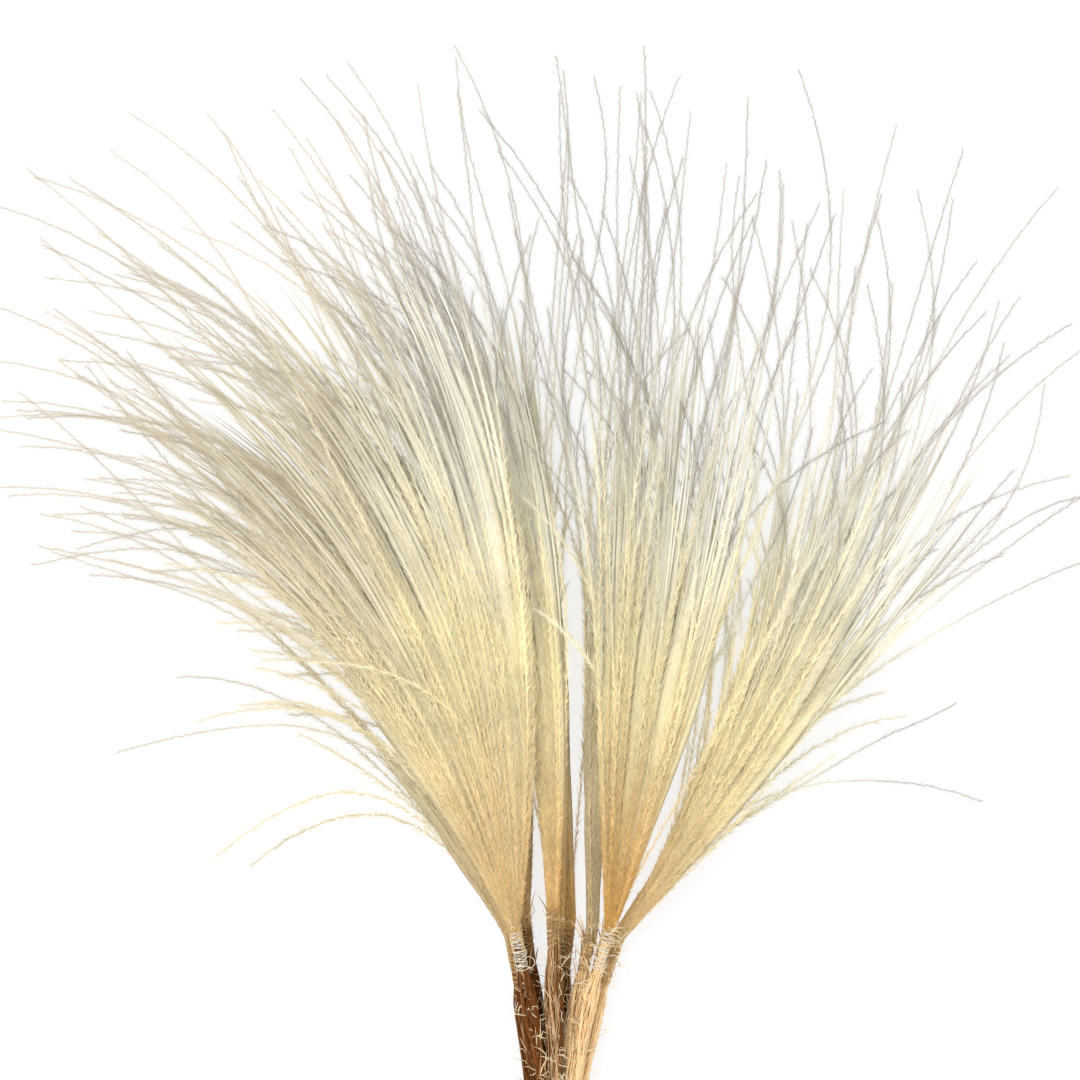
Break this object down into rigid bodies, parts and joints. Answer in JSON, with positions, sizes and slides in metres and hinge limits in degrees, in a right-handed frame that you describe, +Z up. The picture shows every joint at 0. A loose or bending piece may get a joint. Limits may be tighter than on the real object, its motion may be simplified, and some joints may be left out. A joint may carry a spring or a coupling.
{
  "type": "dried feather grass bundle",
  "caption": "Dried bundle of feather grass lying flat: feathery plumes of long awns fan out from thread-bound necks, and their brown stalks are held in one twine tie.",
  "frame": {"origin": "middle of the twine tie's flat underside, on the surface that the bundle lies on", "axes": "+Y along the bundle from the cut ends to the plume tips, +X to the right seen from above with the plumes away, +Z up"},
  "size_m": [0.4138, 0.528, 0.0921],
  "materials": {
    "plume": "silky, dry",
    "stalk": "fibrous, matte",
    "thread": "matte thread",
    "twine": "matte jute"
  },
  "bodies": {
    "root": {"plume_left_front": "plume", "plume_middle_front": "plume", "plume_right_front": "plume", "plume_left_wisps": "plume", "plume_centre_tall": "plume", "plume_centre_slim": "plume", "plume_right_wide": "plume", "plume_left_low": "plume", "plume_centre_low": "plume", "plume_right_low": "plume", "stalk_left_front": "stalk", "stalk_middle_front": "stalk", "stalk_right_front": "stalk", "stalk_left_wisps": "stalk", "stalk_centre_tall": "stalk", "stalk_centre_slim": "stalk", "stalk_right_wide": "stalk", "stalk_left_low": "stalk", "stalk_centre_low": "stalk", "stalk_right_low": "stalk", "binder_left_front": "thread", "binder_middle_front": "thread", "binder_right_front": "thread", "binder_left_wisps": "thread", "binder_centre_tall": "thread", "binder_centre_slim": "thread", "binder_right_wide": "thread", "binder_left_low": "thread", "binder_centre_low": "thread", "binder_right_low": "thread", "twine_tie": "twine"}
  },
  "joints": []
}
